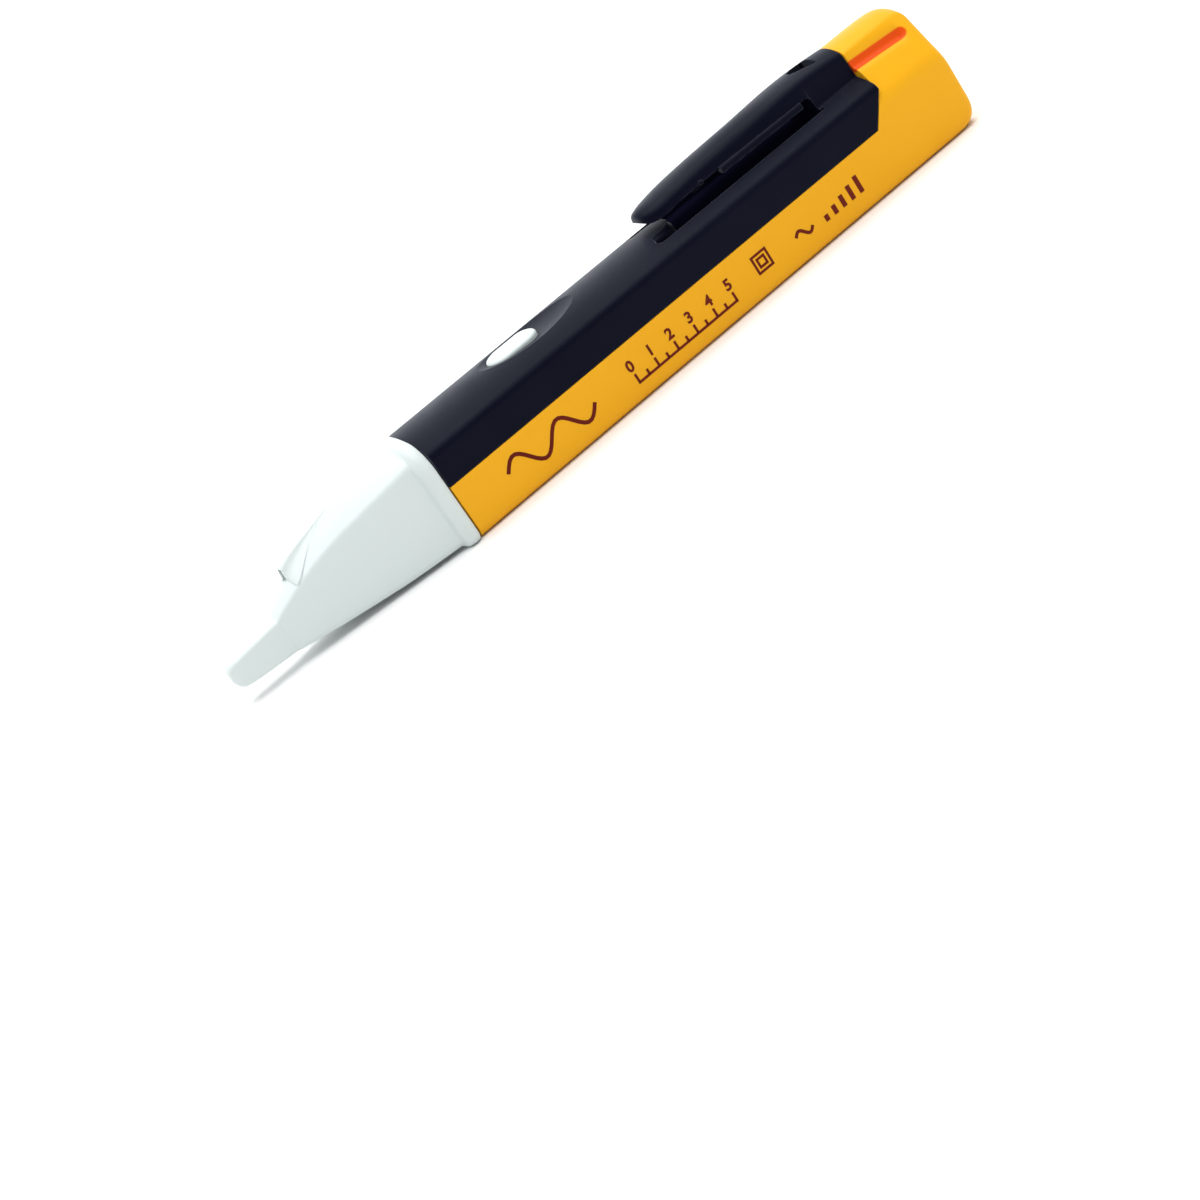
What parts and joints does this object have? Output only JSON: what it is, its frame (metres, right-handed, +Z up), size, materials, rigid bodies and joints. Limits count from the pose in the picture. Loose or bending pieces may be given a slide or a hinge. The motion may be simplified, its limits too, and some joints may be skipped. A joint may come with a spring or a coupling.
{
  "type": "non contact voltage tester",
  "caption": "Pen-shaped voltage tester: white sensing nose, dark upper case with oval button and pocket clip, yellow battery cover that slides off rearward over two AAA cells.",
  "frame": {"origin": "centre of the footprint, on the surface that the tester lies on", "axes": "+X from the sensing tip to the rear end, +Y across the pen, +Z up through the button and the clip"},
  "size_m": [0.1516, 0.0208, 0.0234],
  "materials": {
    "dark_plastic": "fine-grained charcoal moulded plastic with a soft sheen",
    "yellow_plastic": "satin yellow moulded plastic",
    "white_plastic": "milky translucent white plastic",
    "black_component": "black component moulding",
    "contact_steel": "plated spring steel",
    "antenna_brass": "bare brass strip",
    "board_green": "green solder mask on glass-filled board",
    "led_red": "clear red lens",
    "chip_ceramic": "small ceramic resistor body",
    "capacitor_amber": "amber moulded capacitor body",
    "battery_jacket": "printed plastic jacket over a steel can"
  },
  "bodies": {
    "core": {"upper_case": "dark_plastic", "nose_cone": "white_plastic", "tact_switch": "contact_steel", "circuit_board": "board_green", "red_led": "led_red", "led_leg_1": "contact_steel", "led_leg_2": "contact_steel", "sensor_antenna": "antenna_brass", "buzzer": "black_component", "control_chip": "black_component", "signal_transistor": "black_component", "capacitor_1": "capacitor_amber", "capacitor_2": "capacitor_amber", "resistor_1": "chip_ceramic", "resistor_2": "chip_ceramic", "resistor_3": "chip_ceramic", "resistor_4": "chip_ceramic", "battery_tray": "dark_plastic", "battery_front": "battery_jacket", "battery_rear": "battery_jacket", "front_contact": "contact_steel", "rear_contact": "contact_steel", "contact_spring": "contact_steel", "return_strip": "contact_steel"},
    "cover": {"battery_cover": "yellow_plastic"},
    "button": {"power_button": "white_plastic", "switch_stem": "black_component"},
    "clip": {"pocket_clip": "dark_plastic"}
  },
  "joints": [
    {"name": "cover_slide", "type": "slide", "parent": "core", "child": "cover", "axis": [1, 0, 0], "range_m": [0, 0.11]},
    {"name": "button_press", "type": "slide", "parent": "core", "child": "button", "axis": [0, 0, -1], "range_m": [0, 0.0004], "stiffness_N_per_m": 4000, "springref_m": -0.0001},
    {"name": "clip_flex", "type": "hinge", "parent": "core", "child": "clip", "pos_m": [0.05385, 0, 0.0206], "axis": [0, 1, 0], "range_deg": [0, 6], "stiffness_Nm_per_rad": 1.2, "springref_deg": -1.15}
  ]
}
